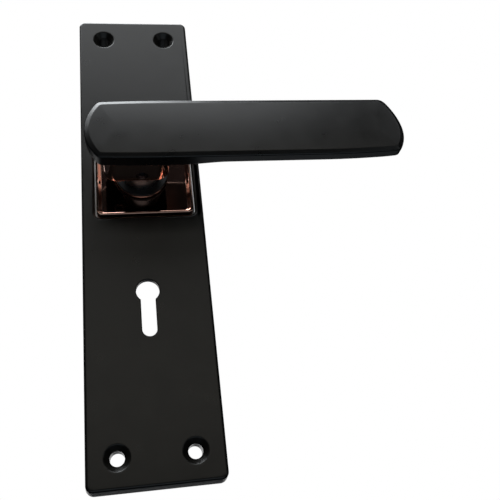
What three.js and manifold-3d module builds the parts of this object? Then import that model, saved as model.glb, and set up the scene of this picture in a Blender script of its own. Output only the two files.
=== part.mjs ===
// A lever handle on a long keyhole backplate, with its return mechanism. Millimetres.
// +X runs along the lever, +Z up the door, and -Y out towards the hand. The origin is the spindle's
// axis at the back face of the plate, which lies on the door.
import * as THREE from 'three';
import { mergeVertices } from 'three/addons/utils/BufferGeometryUtils.js';
import Module from 'manifold-3d';

const wasm = await Module();
wasm.setup();

// ---- Driving dimensions ----
const PLATE = {
  width: 42.4, length: 178, depth: 7, above: 71.5, wall: 2.2, corner: 2.6, draft: 0.4, edge: 1.5,
};
const SCREW_HOLE = { x: 11.6, fromEnd: 9.4, radius: 2.25, sinkRadius: 4.0, sinkDepth: 1.7, pillar: 4.6 };
const KEYHOLE = { z: -44.8, radius: 3.85, slot: 2.4, bottom: -60.5 };
const OPENING = { size: 34.4, corner: 2.2, roll: 1.8 };
const CUP = { x: 0.8, size: 33.2, corner: 1.7, rim: 0.8, front: -8, floor: -5.6, back: -4.6, slope: 0.9 };
const COLLAR = { front: -6.6, radius: 8.9, bore: 7.9, back: -3.4 };
const BUSH = { front: -7.7, flange: 9.3 };
const CARRIER = { width: 36, height: 50, front: -4.5, back: -3.4, bore: 9.0 };
const CARRIER_SCREW = { x: 11, z: 21.5, shank: 1.25, head: 2.6, headHeight: 1.3, depth: 1.4 };
const SPIGOT = { radius: 6.75, shoulder: -6.3, rear: 6.28, front: -25.6, end: -0.05, flat: 5.6 };
const RING_GROOVE = { radius: 5.95, front: -1.02, back: -0.3 };
const SPINDLE = { across: 8, chamfer: 0.55, front: -22.6, back: 58 };
const NECK = { x: -1.9, width: 22.2, height: 19.8, corner: 4.6, rear: -18.3, edge: 0.8 };
const GRIP = {
  left: -17.8, right: 88.7, above: 11.3, below: 10.9, face: -34.75, backEdge: 0.6,
  endRadius: { hub: 16, tip: 18.5 },
  bevel: { width: 1.6, depth: 0.75, edge: 0.3 },
  ease: { tipTop: 3.6, tipBottom: 1.6, hub: 2.2 },
  slim: { hub: 0.06, hubStart: 8, tip: 0.12, tipStart: 60 },
  lean: { share: 0.16, start: 66 },
  hub: 6.0, waist: 4.7, tip: 3.8, hubEnd: 12, waistStart: 28, taper: 9,
};
const GRIP_SCREW = { x: -8.2, z: 5.6, shank: 1.2, head: 2.1, headHeight: 1.9, sink: 2.4, bite: 2.6 };
const GRUB = { y: -21.4, radius: 2, bottom: 4.15, top: 9.2 };
const CAM = { front: -2.1, back: -1.1, disc: 8.6, arm: 2.3, armEnd: 13, lobe: 2, lobeEnd: 13.2 };
const CAM_TAB = { half: 1, low: 11.4, high: 12.6, front: -3.2 };
const SPRING = { wire: 0.55, y: -2.72, loop: 9.3, leg: 1.6, legEnd: 16.6 };
const PIN = { radius: 1, back: -0.6 };
const ANCHOR_Z = 15;
const STOP = { orbit: 11.5, travel: THREE.MathUtils.degToRad(45) };
const FIT = 0.05; // running clearance of the turning pieces
const ROUND = 36; // sides of the round pieces on the spindle's axis
const GRIP_STATIONS = 18; // outline points along one long side of the grip

// ---- Materials ----
const finish = (color, roughness, metalness) => new THREE.MeshStandardMaterial({ color, roughness, metalness });
const blackCoat = finish(0x232425, 0.42, 0.3);
const roseGold = finish(0xb0715a, 0.16, 1);
const zincSteel = finish(0x9a9ca0, 0.38, 1);
const springSteel = finish(0x55575c, 0.3, 1);
const blackNylon = finish(0x18181a, 0.55, 0);

// ---- Solids and booleans ----
function solidOf(geometry) {
  const bare = geometry.index ? geometry.toNonIndexed() : geometry.clone();
  bare.deleteAttribute('normal');
  bare.deleteAttribute('uv');
  const merged = mergeVertices(bare, 1e-4);
  return new wasm.Manifold(new wasm.Mesh({
    numProp: 3,
    vertProperties: merged.attributes.position.array,
    triVerts: new Uint32Array(merged.index.array),
  }));
}

function geometryOf(solid) {
  const mesh = solid.getMesh();
  const geometry = new THREE.BufferGeometry();
  geometry.setAttribute('position', new THREE.BufferAttribute(new Float32Array(mesh.vertProperties), 3));
  geometry.setIndex(new THREE.BufferAttribute(new Uint32Array(mesh.triVerts), 1));
  geometry.computeVertexNormals();
  return geometry;
}

const union = (first, ...others) => others.reduce((sum, piece) => sum.add(piece), first);
const cut = (first, ...others) => others.reduce((rest, piece) => rest.subtract(piece), first);

// ---- Outlines, as x and z points that run anticlockwise seen from the front ----
function arcPoints(cx, cz, radius, from, to, steps) {
  return Array.from({ length: steps + 1 }, (_, i) => {
    const angle = from + ((to - from) * i) / steps;
    return new THREE.Vector2(cx + radius * Math.cos(angle), cz + radius * Math.sin(angle));
  });
}

// A rectangle with round corners, starting at its right side so that its top and bottom points pair up.
function roundedRectangle(width, height, radius, x = 0, z = 0, steps = 5) {
  const right = width / 2 - radius;
  const top = height / 2 - radius;
  const quarter = Math.PI / 2;
  return [[right, top], [-right, top], [-right, -top], [right, -top]].flatMap(([cx, cz], i) =>
    arcPoints(x + cx, z + cz, radius, i * quarter, (i + 1) * quarter, steps));
}

// The grip's outline: a bar with an arc at each end that meets its long sides at an eased corner. The
// bar slims a little towards its short end, its lower side rises towards the tip, and the tip's arc
// leans out at the bottom.
function gripOutline(inset) {
  const corner = (side, half, fullEase) => {
    const radius = (side > 0 ? GRIP.endRadius.tip : GRIP.endRadius.hub) - inset;
    const ease = Math.max(fullEase - inset * 0.5, 0.4);
    const centre = (side > 0 ? GRIP.right - inset : GRIP.left + inset) - side * radius;
    const z = half - ease;
    const reach = Math.sqrt((radius - ease) ** 2 - z ** 2);
    return { radius, ease, centre, x: centre + side * reach, z, turn: Math.atan2(z, reach) };
  };
  const towards = (x, from, to) => THREE.MathUtils.clamp((x - from) / (to - from), 0, 1) ** 2;
  const sideFrom = (half, tipEase, tipSlim) => {
    const tip = corner(1, half, tipEase);
    const hub = corner(-1, half, GRIP.ease.hub);
    const straight = Array.from({ length: GRIP_STATIONS - 1 }, (_, i) =>
      new THREE.Vector2(THREE.MathUtils.lerp(tip.x, hub.x, (i + 1) / GRIP_STATIONS), half));
    return [
      ...arcPoints(tip.centre, 0, tip.radius, 0, tip.turn, 7),
      ...arcPoints(tip.x, tip.z, tip.ease, tip.turn, Math.PI / 2, 3).slice(1),
      ...straight,
      ...arcPoints(hub.x, hub.z, hub.ease, Math.PI / 2, Math.PI - hub.turn, 3),
      ...arcPoints(hub.centre, 0, hub.radius, Math.PI - hub.turn, Math.PI, 7).slice(1),
    ].map(({ x, y }) => new THREE.Vector2(x, y
      * (1 - GRIP.slim.hub * towards(x, GRIP.slim.hubStart, GRIP.left))
      * (1 - tipSlim * towards(x, GRIP.slim.tipStart, GRIP.right))));
  };
  const upper = sideFrom(GRIP.above - inset, GRIP.ease.tipTop, 0);
  const lower = sideFrom(GRIP.below - inset, GRIP.ease.tipBottom, GRIP.slim.tip).slice(1, -1).reverse();
  return [...upper, ...lower.map((point) => new THREE.Vector2(point.x, -point.y))].map(({ x, y }) =>
    new THREE.Vector2(x - GRIP.lean.share * y * towards(x, GRIP.lean.start, GRIP.right), y));
}

// ---- Bodies that run along Y ----
// A skin over outlines of equal point counts, from the back outline to the front one. An outline's y
// is a number, or a function of x. Each cap joins the points that face each other across the X axis.
function lofted(sections) {
  const count = sections[0].outline.length;
  const corners = sections.flatMap(({ outline, y }) =>
    outline.map((point) => [point.x, typeof y === 'function' ? y(point.x) : y, point.y]));
  const faces = [];
  for (let ring = 0; ring + 1 < sections.length; ring += 1) {
    for (let i = 0; i < count; i += 1) {
      const next = (i + 1) % count;
      const back = ring * count;
      const front = back + count;
      faces.push([back + i, front + next, front + i], [back + i, back + next, front + next]);
    }
  }
  const last = (sections.length - 1) * count;
  const closed = sections[0].starts === 'apex';
  const mate = (i) => (closed ? (count - i) % count : count - 1 - i);
  for (let i = 0; i < count / 2; i += 1) {
    const quad = [i, i + 1, mate(i + 1), mate(i)];
    for (const [a, b, c] of [[quad[0], quad[1], quad[2]], [quad[0], quad[2], quad[3]]]) {
      if (a !== b && b !== c && a !== c) {
        faces.push([a, c, b], [last + a, last + b, last + c]);
      }
    }
  }
  const geometry = new THREE.BufferGeometry();
  geometry.setAttribute('position', new THREE.Float32BufferAttribute(corners.flat(), 3));
  geometry.setIndex(faces.flat());
  return solidOf(geometry);
}

// A straight prism between two levels of y.
function prism(outline, back, front) {
  return lofted([{ outline, y: back }, { outline, y: front }]);
}

// An outline of any form, extruded between two levels of y.
function extruded(shape, back, front, steps = 8) {
  const options = { depth: back - front, bevelEnabled: false, curveSegments: steps };
  const geometry = new THREE.ExtrudeGeometry(shape, options);
  return solidOf(geometry.rotateX(Math.PI / 2).translate(0, back, 0));
}

// A body turned about a line along Y, from [radius, y] points that start and end on that line.
function turned(profile, x = 0, z = 0, segments = 24) {
  const points = profile.map(([radius, y]) => new THREE.Vector2(radius, y));
  return solidOf(new THREE.LatheGeometry(points, segments).translate(x, 0, z));
}

function cylinder(radius, back, front, x = 0, z = 0, segments = 24) {
  return turned([[0, front], [radius, front], [radius, back], [0, back]], x, z, segments);
}

function box(low, high) {
  const size = high.map((value, i) => value - low[i]);
  const middle = high.map((value, i) => (value + low[i]) / 2);
  return solidOf(new THREE.BoxGeometry(...size).translate(...middle));
}

// ---- Backplate ----
const PLATE_FRONT = -PLATE.depth;
const PLATE_INSIDE = PLATE_FRONT + PLATE.wall;
const PLATE_MIDDLE = PLATE.above - PLATE.length / 2;
const HOLE_ROWS = [PLATE.above - SCREW_HOLE.fromEnd, PLATE.above - PLATE.length + SCREW_HOLE.fromEnd];
const SCREW_HOLES = HOLE_ROWS.flatMap((z) => [-1, 1].map((side) => [side * SCREW_HOLE.x, z]));
const CARRIER_CORNERS = [
  ['upper_left', -1, 1],
  ['upper_right', 1, 1],
  ['lower_left', -1, -1],
  ['lower_right', 1, -1],
];

function plateOutline(inset, corner = PLATE.corner) {
  const width = PLATE.width - 2 * inset;
  const length = PLATE.length - 2 * inset;
  return roundedRectangle(width, length, Math.max(corner - inset, 0.6), 0, PLATE_MIDDLE);
}

// Outlines that round an edge off: an arc of steps from the side wall to the front face.
function roundedEdge(outline, front, radius, steps = 4) {
  return Array.from({ length: steps + 1 }, (_, i) => {
    const angle = (Math.PI / 2) * (i / steps);
    return { outline: outline(radius * (1 - Math.cos(angle))), y: front + radius * (1 - Math.sin(angle)) };
  });
}

function keyholeShape() {
  const { z, radius, slot, bottom } = KEYHOLE;
  const spread = Math.asin(slot / radius);
  const shape = new THREE.Shape();
  shape.absarc(0, z, radius, -Math.PI / 2 + spread, 1.5 * Math.PI - spread, false);
  shape.absarc(0, bottom + slot, slot, Math.PI, 2 * Math.PI, false);
  shape.closePath();
  return shape;
}

// The square opening's edge is rolled inwards, so its cutter flares towards the front.
function openingCutter() {
  const outline = (flare) => {
    const size = OPENING.size + 2 * flare;
    return roundedRectangle(size, size, OPENING.corner + flare, CUP.x, 0);
  };
  const steps = 4;
  const flares = Array.from({ length: steps + 1 }, (_, i) => {
    const angle = (Math.PI / 2) * (i / steps);
    const flare = OPENING.roll * (1 - Math.cos(angle));
    return { outline: outline(flare), y: PLATE_FRONT + OPENING.roll * (1 - Math.sin(angle)) };
  });
  const beyond = { outline: outline(OPENING.roll), y: PLATE_FRONT - 1 };
  return lofted([{ outline: outline(0), y: 1 }, ...flares, beyond]);
}

function backplate() {
  const drafted = (inset) => plateOutline(PLATE.draft + inset);
  const skin = lofted([{ outline: plateOutline(0), y: 0 }, ...roundedEdge(drafted, PLATE_FRONT, PLATE.edge)]);
  const hollow = prism(plateOutline(PLATE.wall), 1, PLATE_INSIDE);
  const pillars = SCREW_HOLES.map(([x, z]) => cylinder(SCREW_HOLE.pillar, 0, PLATE_INSIDE - 0.5, x, z));
  const pads = CARRIER_CORNERS.map(([, side, end]) =>
    cylinder(3.4, CARRIER.front - FIT, PLATE_INSIDE - 0.5, side * CARRIER_SCREW.x, end * CARRIER_SCREW.z));
  const threads = CARRIER_CORNERS.map(([, side, end]) => cylinder(
    CARRIER_SCREW.shank + FIT, 0, CARRIER.front - CARRIER_SCREW.depth - 0.1,
    side * CARRIER_SCREW.x, end * CARRIER_SCREW.z));
  const sinkSlope = (SCREW_HOLE.sinkRadius - SCREW_HOLE.radius) / SCREW_HOLE.sinkDepth;
  const bores = SCREW_HOLES.map(([x, z]) => turned([
    [0, PLATE_FRONT - 1],
    [SCREW_HOLE.sinkRadius + sinkSlope, PLATE_FRONT - 1],
    [SCREW_HOLE.radius, PLATE_FRONT + SCREW_HOLE.sinkDepth],
    [SCREW_HOLE.radius, 1],
    [0, 1],
  ], x, z));
  const shell = union(cut(skin, hollow), ...pillars, ...pads);
  return cut(shell, ...threads, ...bores, openingCutter(), extruded(keyholeShape(), 1, PLATE_FRONT - 1, 14));
}

// ---- Cup, bush and carrier behind it ----
// A square dish with a thin rim, steep walls and a flat floor. Its round collar holds the bush and is
// spread over the carrier's back.
function roseCup() {
  const { x, size, corner, rim, front, floor, back, slope } = CUP;
  const outside = (inset) => roundedRectangle(size - 2 * inset, size - 2 * inset, corner - inset, x, 0);
  const body = lofted([{ outline: outside(0), y: back }, ...roundedEdge(outside, front, 0.35, 2)]);
  const inside = (inset) => roundedRectangle(size - 2 * inset, size - 2 * inset, corner, x, 0);
  const dish = lofted([
    { outline: inside(rim + slope), y: floor },
    { outline: inside(rim), y: front },
    { outline: inside(rim), y: front - 1 },
  ]);
  const collar = turned([
    [0, COLLAR.front],
    [COLLAR.radius - 0.5, COLLAR.front],
    [COLLAR.radius, COLLAR.front + 0.5],
    [COLLAR.radius, COLLAR.back],
    [0, COLLAR.back],
  ], 0, 0, ROUND);
  return cut(union(cut(body, dish), collar), cylinder(COLLAR.bore, 1, COLLAR.front - 1, 0, 0, ROUND));
}

// A flanged sleeve in the collar, with its flange over the collar's front.
function neckBush() {
  const outer = COLLAR.bore - FIT;
  return turned([
    [SPIGOT.radius + FIT, BUSH.front],
    [BUSH.flange, BUSH.front],
    [BUSH.flange, COLLAR.front - FIT],
    [outer, COLLAR.front - FIT],
    [outer, COLLAR.back],
    [SPIGOT.rear + FIT, COLLAR.back],
    [SPIGOT.rear + FIT, SPIGOT.shoulder + FIT],
    [SPIGOT.radius + FIT, SPIGOT.shoulder + FIT],
    [SPIGOT.radius + FIT, BUSH.front],
  ], 0, 0, ROUND);
}

function pinSpots() {
  const swing = Math.asin((CAM.lobe + PIN.radius + 2 * FIT) / STOP.orbit);
  const spot = (angle) => [-STOP.orbit * Math.sin(angle), -STOP.orbit * Math.cos(angle)];
  return { anchor: [0, ANCHOR_Z], rest: spot(-swing), travel: spot(STOP.travel + swing) };
}
const PINS = pinSpots();

function carrierPlate() {
  const blank = prism(roundedRectangle(CARRIER.width, CARRIER.height, 3), CARRIER.back, CARRIER.front);
  const screwHoles = CARRIER_CORNERS.map(([, side, end]) =>
    cylinder(CARRIER_SCREW.shank + 0.15, 1, CARRIER.front - 1, side * CARRIER_SCREW.x, end * CARRIER_SCREW.z, 24));
  const pinHoles = Object.values(PINS).map(([x, z]) =>
    cylinder(PIN.radius * 0.8 + 0.02, 1, CARRIER.front - 1, x, z, 20));
  return cut(blank, cylinder(CARRIER.bore, 1, CARRIER.front - 1, 0, 0, ROUND), ...screwHoles, ...pinHoles);
}

// A stepped pin: its thin end is riveted into the carrier.
function carrierPin([x, z]) {
  const foot = PIN.radius * 0.8;
  return turned([
    [0, CARRIER.front], [foot, CARRIER.front], [foot, CARRIER.back + 0.02],
    [PIN.radius, CARRIER.back + 0.02], [PIN.radius, PIN.back], [0, PIN.back],
  ], x, z, 20);
}

function carrierScrew(side, end) {
  const { x, z, shank, head, headHeight, depth } = CARRIER_SCREW;
  const seat = CARRIER.back + 0.03;
  const body = turned([
    [0, CARRIER.front - depth], [shank, CARRIER.front - depth], [shank, seat],
    [head, seat], [head, seat + headHeight * 0.6], [head * 0.72, seat + headHeight], [0, seat + headHeight],
  ], side * x, end * z, 24);
  const slotTop = seat + headHeight + 0.1;
  const blade = [0.35, 1.5];
  const cross = blade.map((half, i) => box(
    [side * x - half, slotTop - 0.75, end * z - blade[1 - i]],
    [side * x + half, slotTop, end * z + blade[1 - i]]));
  return cut(body, ...cross);
}

// ---- Lever: grip, neck and spigot ----
const GRIP_SCREW_SPOTS = [[GRIP_SCREW.x, GRIP_SCREW.z], [GRIP_SCREW.x, -GRIP_SCREW.z]];

// How thick the grip is at x: fullest over the neck, slimmer along the hand, thin at both ends.
function gripThickness(x) {
  const { left, right, hub, waist, tip, hubEnd, waistStart, taper } = GRIP;
  const waisting = THREE.MathUtils.smoothstep(x, hubEnd, waistStart);
  const body = THREE.MathUtils.lerp(hub, waist, waisting);
  const toEnd = THREE.MathUtils.clamp(Math.min(x - left, right - x) / taper, 0, 1);
  return tip + (body - tip) * Math.sqrt(1 - (1 - toEnd) ** 2);
}

function leverGrip() {
  const { face, bevel, backEdge } = GRIP;
  const along = bevel.depth * (1 - bevel.edge / bevel.width);
  const back = (drop) => (x) => face + gripThickness(x) - drop;
  const bar = lofted([
    { outline: gripOutline(backEdge), y: back(0), starts: 'apex' },
    { outline: gripOutline(backEdge * 0.3), y: back(backEdge * 0.3) },
    { outline: gripOutline(0), y: back(backEdge) },
    { outline: gripOutline(0), y: face + bevel.depth + bevel.edge },
    { outline: gripOutline(bevel.edge), y: face + along },
    { outline: gripOutline(bevel.width), y: face },
  ]);
  const seat = face + GRIP.hub;
  const threads = GRIP_SCREW_SPOTS.map(([x, z]) =>
    cylinder(GRIP_SCREW.shank + FIT, seat + 1, seat - GRIP_SCREW.bite - 0.2, x, z, 20));
  return cut(bar, ...threads);
}

// A block with round corners. The spigot is pressed into its back, and two screws beside the spigot
// run through it into the grip.
function leverNeck() {
  const outline = (inset) =>
    roundedRectangle(NECK.width - 2 * inset, NECK.height - 2 * inset, NECK.corner - inset, NECK.x, 0);
  const front = GRIP.face + GRIP.hub + 0.02;
  const rearEdge = roundedEdge(outline, 0, NECK.edge, 3).reverse()
    .map(({ outline: ring, y }) => ({ outline: ring, y: NECK.rear - y }));
  const block = lofted([...rearEdge, { outline: outline(0), y: front }]);
  const socket = cylinder(SPIGOT.radius + 0.02, 0, SPIGOT.front - 0.05, 0, 0, ROUND);
  const ways = GRIP_SCREW_SPOTS.map(([x, z]) => cylinder(GRIP_SCREW.shank + 0.15, 0, front - 1, x, z, 20));
  const sinks = GRIP_SCREW_SPOTS.map(([x, z]) =>
    cylinder(GRIP_SCREW.head + 0.15, 0, NECK.rear - GRIP_SCREW.sink, x, z, 24));
  return cut(block, socket, ...ways, ...sinks, grubBore(GRUB.radius + 0.04, 12));
}

// A bore down the Z axis of the neck for the spindle's set screw.
function grubBore(radius, top, bottom = 0.5) {
  const bore = new THREE.CylinderGeometry(radius, radius, top - bottom, 24);
  return solidOf(bore.rotateX(Math.PI / 2).translate(0, GRUB.y, (top + bottom) / 2));
}

function squareBar(across, chamfer, back, front) {
  const half = across / 2;
  const near = half - chamfer;
  const points = [[half, near], [near, half], [-near, half], [-half, near]];
  const outline = [...points, ...points.map(([x, z]) => [-x, -z])].map(([x, z]) => new THREE.Vector2(x, z));
  return prism(outline, back, front);
}

function leverSpigot() {
  const { radius, shoulder, rear, front, end, flat } = SPIGOT;
  const body = turned([
    [0, front], [radius - 0.3, front], [radius, front + 0.3], [radius, shoulder],
    [rear, shoulder], [rear, RING_GROOVE.front], [RING_GROOVE.radius, RING_GROOVE.front],
    [RING_GROOVE.radius, RING_GROOVE.back], [rear, RING_GROOVE.back], [rear, end], [0, end],
  ], 0, 0, ROUND);
  const flats = [-1, 1].map((side) => {
    const inner = side * flat;
    const outer = side * (radius + 1);
    return box([Math.min(inner, outer), CAM.front - FIT, -9], [Math.max(inner, outer), 1, 9]);
  });
  const socket = squareBar(SPINDLE.across + 2 * FIT, SPINDLE.chamfer, 1, SPINDLE.front - 0.2);
  return cut(body, ...flats, socket, grubBore(GRUB.radius + 0.04, 12));
}

const spindle = () => squareBar(SPINDLE.across, SPINDLE.chamfer, SPINDLE.back, SPINDLE.front);

function grubScrew() {
  const body = grubBore(GRUB.radius, GRUB.top, GRUB.bottom);
  const key = new THREE.CylinderGeometry(1.15, 1.15, 2, 6).rotateX(Math.PI / 2);
  return cut(body, solidOf(key.translate(0, GRUB.y, GRUB.top)));
}

function gripScrew([x, z]) {
  const seat = NECK.rear - GRIP_SCREW.sink + 0.02;
  const tip = GRIP.face + GRIP.hub - GRIP_SCREW.bite;
  const { shank, head, headHeight } = GRIP_SCREW;
  const body = turned([
    [0, tip], [shank, tip], [shank, seat], [head, seat],
    [head, seat + headHeight - 0.3], [head - 0.3, seat + headHeight], [0, seat + headHeight],
  ], x, z, 24);
  const key = cylinder(1.1, 0, seat + headHeight - 1.1, x, z, 6);
  return cut(body, key);
}

// ---- Return mechanism behind the carrier ----
// The driver turns with the spigot. Its upper arm has a tab bent between the spring's legs, and its
// lower lobe runs between the two stops.
function driverCam() {
  const { front, back, disc, arm, armEnd, lobe, lobeEnd } = CAM;
  const plate = union(
    cylinder(disc, back, front, 0, 0, ROUND),
    box([-arm, front, 0], [arm, back, armEnd]),
    box([-lobe, front, -lobeEnd], [lobe, back, 0]),
    box([-CAM_TAB.half, CAM_TAB.front, CAM_TAB.low], [CAM_TAB.half, back - 0.2, CAM_TAB.high]));
  const round = cylinder(SPIGOT.rear + FIT, 1, front - 2, 0, 0, ROUND);
  const band = box([-SPIGOT.flat - FIT, front - 3, -9], [SPIGOT.flat + FIT, 2, 9]);
  return cut(plate, round.intersect(band));
}

function spacerRing() {
  const [inner, outer] = [SPIGOT.rear + 0.1, SPIGOT.rear + 1.5];
  const [front, back] = [COLLAR.back + 0.05, CAM.front - 0.05];
  return turned([[inner, front], [outer, front], [outer, back], [inner, back], [inner, front]], 0, 0, ROUND);
}

// An external retaining ring, open at the bottom, with an ear at each side of its gap.
function retainingRing() {
  const [front, back] = [RING_GROOVE.front + 0.03, RING_GROOVE.back - 0.03];
  const inner = RING_GROOVE.radius + 0.03;
  const outer = inner + 1.3;
  const ring = turned([[inner, front], [outer, front], [outer, back], [inner, back], [inner, front]], 0, 0, ROUND);
  const ears = [-1, 1].map((side) => cylinder(1.5, back, front, side * 3.4, -inner - 1.2, 20));
  const eyes = [-1, 1].map((side) => cylinder(0.6, 1, front - 1, side * 3.4, -inner - 1.2, 12));
  const gap = box([-2.1, front - 1, -12], [2.1, 1, -1]);
  return cut(union(ring, ...ears), gap, cylinder(inner, 1, front - 1, 0, 0, ROUND), ...eyes);
}

// One round of wire whose two legs stand side by side over the loop.
function returnSpring() {
  const { wire, y, loop, leg, legEnd } = SPRING;
  const bend = 1.6;
  const opening = Math.asin((leg + bend) / (loop + bend));
  const startAngle = Math.PI / 2 - opening;
  const centreZ = (loop + bend) * Math.cos(opening);
  const loopPoints = arcPoints(0, 0, loop, startAngle, startAngle - 2 * (Math.PI - opening), 30);
  const turn = (side) => {
    const from = side > 0 ? Math.PI : 0;
    const sweep = side * (Math.PI / 2 - opening);
    return arcPoints(side * (leg + bend), centreZ, bend, from, from + sweep, 5);
  };
  const right = [new THREE.Vector2(leg, legEnd), ...turn(1)];
  const left = [new THREE.Vector2(-leg, legEnd), ...turn(-1)].reverse();
  const line = [...right, ...loopPoints.slice(1, -1), ...left];
  return sweptWire(line.map((point) => new THREE.Vector3(point.x, y, point.y)), wire, 6);
}

// A round wire along points in a plane of constant y, with a ring of corners at each point.
function sweptWire(points, radius, sides) {
  const across = new THREE.Vector3(0, 1, 0);
  const corners = [];
  points.forEach((point, i) => {
    const before = points[Math.max(i - 1, 0)];
    const after = points[Math.min(i + 1, points.length - 1)];
    const normal = after.clone().sub(before).normalize().cross(across);
    for (let k = 0; k < sides; k += 1) {
      const angle = (2 * Math.PI * (k + 0.5)) / sides;
      const offset = normal.clone().multiplyScalar(radius * Math.cos(angle))
        .addScaledVector(across, radius * Math.sin(angle));
      corners.push(...point.clone().add(offset).toArray());
    }
  });
  const faces = [];
  for (let ring = 0; ring + 1 < points.length; ring += 1) {
    for (let k = 0; k < sides; k += 1) {
      const [a, b] = [ring * sides + k, ring * sides + ((k + 1) % sides)];
      faces.push(a, b + sides, b, a, a + sides, b + sides);
    }
  }
  const last = (points.length - 1) * sides;
  for (let k = 1; k + 1 < sides; k += 1) {
    faces.push(0, k, k + 1, last, last + k + 1, last + k);
  }
  const geometry = new THREE.BufferGeometry();
  geometry.setAttribute('position', new THREE.Float32BufferAttribute(corners, 3));
  geometry.setIndex(faces);
  return solidOf(geometry);
}

// ---- Assembly ----
function piece(name, solid, material) {
  const mesh = new THREE.Mesh(geometryOf(solid), material);
  mesh.name = name;
  return mesh;
}

const plateSide = new THREE.Group();
plateSide.add(
  piece('backplate', backplate(), blackCoat),
  piece('rose_cup', roseCup(), roseGold),
  piece('neck_bush', neckBush(), blackNylon),
  piece('carrier_plate', carrierPlate(), zincSteel),
  piece('spring_anchor_pin', carrierPin(PINS.anchor), zincSteel),
  piece('rest_stop_pin', carrierPin(PINS.rest), zincSteel),
  piece('travel_stop_pin', carrierPin(PINS.travel), zincSteel),
  piece('return_spring', returnSpring(), springSteel),
);
for (const [place, side, end] of CARRIER_CORNERS) {
  plateSide.add(piece(`carrier_screw_${place}`, carrierScrew(side, end), zincSteel));
}

const leverSide = new THREE.Group();
leverSide.add(
  piece('lever_grip', leverGrip(), blackCoat),
  piece('lever_neck', leverNeck(), roseGold),
  piece('lever_spigot', leverSpigot(), zincSteel),
  piece('spindle', spindle(), zincSteel),
  piece('spindle_set_screw', grubScrew(), springSteel),
  piece('driver_cam', driverCam(), zincSteel),
  piece('spacer_ring', spacerRing(), blackNylon),
  piece('retaining_ring', retainingRing(), springSteel),
);
['upper', 'lower'].forEach((place, i) => {
  leverSide.add(piece(`grip_screw_${place}`, gripScrew(GRIP_SCREW_SPOTS[i]), zincSteel));
});

const lockHandle = new THREE.Group();
lockHandle.add(plateSide, leverSide);

export default lockHandle;
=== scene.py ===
# The looks of a lever door handle on a long keyhole backplate. Sizes are in millimetres in the same
# frame as the CAD: +X along the lever, +Z up the door, -Y out towards the hand.
import math

import bmesh
import bpy
from mathutils import Matrix, Vector

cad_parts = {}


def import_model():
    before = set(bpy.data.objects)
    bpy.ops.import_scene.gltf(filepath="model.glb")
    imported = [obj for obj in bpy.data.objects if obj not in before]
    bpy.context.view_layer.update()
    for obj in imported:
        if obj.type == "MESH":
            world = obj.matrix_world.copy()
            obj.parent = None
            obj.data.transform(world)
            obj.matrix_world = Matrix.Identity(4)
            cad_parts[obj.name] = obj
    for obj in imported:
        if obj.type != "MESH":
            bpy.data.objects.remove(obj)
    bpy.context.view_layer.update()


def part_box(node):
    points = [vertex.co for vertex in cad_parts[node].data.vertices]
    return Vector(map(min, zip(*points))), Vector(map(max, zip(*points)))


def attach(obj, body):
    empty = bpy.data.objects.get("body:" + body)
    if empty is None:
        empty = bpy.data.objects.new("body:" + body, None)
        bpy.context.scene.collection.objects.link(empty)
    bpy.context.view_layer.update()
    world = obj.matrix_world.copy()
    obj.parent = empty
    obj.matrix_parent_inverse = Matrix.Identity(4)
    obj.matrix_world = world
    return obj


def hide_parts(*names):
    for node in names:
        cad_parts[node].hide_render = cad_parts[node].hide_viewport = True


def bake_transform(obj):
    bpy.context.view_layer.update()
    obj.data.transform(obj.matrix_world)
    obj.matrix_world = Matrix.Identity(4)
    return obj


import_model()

MM = 0.001
QUARTER = math.pi / 2


def box_mm(node):
    low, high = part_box(node)
    return low / MM, high / MM


# ---- Sizes taken from the CAD ----
PLATE_LOW, PLATE_HIGH = box_mm("backplate")
CUP_LOW, CUP_HIGH = box_mm("rose_cup")
NECK_LOW, NECK_HIGH = box_mm("lever_neck")
GRIP_LOW, GRIP_HIGH = box_mm("lever_grip")
SPINDLE_LOW, SPINDLE_HIGH = box_mm("spindle")
CARRIER_LOW, CARRIER_HIGH = box_mm("carrier_plate")

# ---- Details of the sizes above ----
PLATE_WALL, PLATE_CORNER, PLATE_DRAFT, PLATE_EDGE = 2.2, 2.6, 0.4, 1.5
HOLE_X, HOLE_INSET, HOLE_RADIUS, SINK_RADIUS, SINK_DEPTH, PILLAR = 11.6, 9.4, 2.25, 4.0, 1.7, 4.6
KEYHOLE_Z, KEYHOLE_RADIUS, KEYHOLE_SLOT, KEYHOLE_BOTTOM = -44.8, 3.85, 2.4, -60.5
OPENING_SIZE, OPENING_CORNER, OPENING_ROLL = 34.4, 2.2, 1.8
CUP_X, CUP_CORNER, CUP_RIM, CUP_SLOPE = 0.8, 1.7, 0.8, 0.9
CUP_FRONT, CUP_FLOOR, CUP_BACK = -8.0, -5.6, -4.6
COLLAR_RADIUS, COLLAR_BORE, COLLAR_FRONT, COLLAR_BACK = 8.9, 7.9, -6.6, -3.4
PAD_X, PAD_Z, PAD_RADIUS, PAD_FRONT, PAD_HOLE = 11.0, 21.5, 3.4, -4.55, 1.3
CARRIER_CORNER, CARRIER_EDGE, CARRIER_BORE, CARRIER_SCREW_HOLE, PIN_HOLE = 3, 0.15, 9.0, 1.4, 0.82
SLOT_DEPTH, SLOT_HALF_WIDTH, SLOT_HALF_LENGTH = 0.7, 0.33, 1.45
SPIGOT_RADIUS, SPIGOT_REAR, SPIGOT_SHOULDER, SPIGOT_FLAT, PAST_SPIGOT = 6.75, 6.28, -6.3, 5.6, 9
GROOVE_RADIUS, GROOVE_FRONT, GROOVE_BACK = 5.95, -1.02, -0.3
NECK_CORNER, NECK_EDGE, NECK_SOCKET_END = 4.6, 0.8, -25.65
GRIP_HUB, GRIP_WAIST, GRIP_TIP = 6.0, 4.7, 3.8
GRIP_HUB_END, GRIP_WAIST_START, GRIP_TAPER = 12.0, 28.0, 9.0
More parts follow.
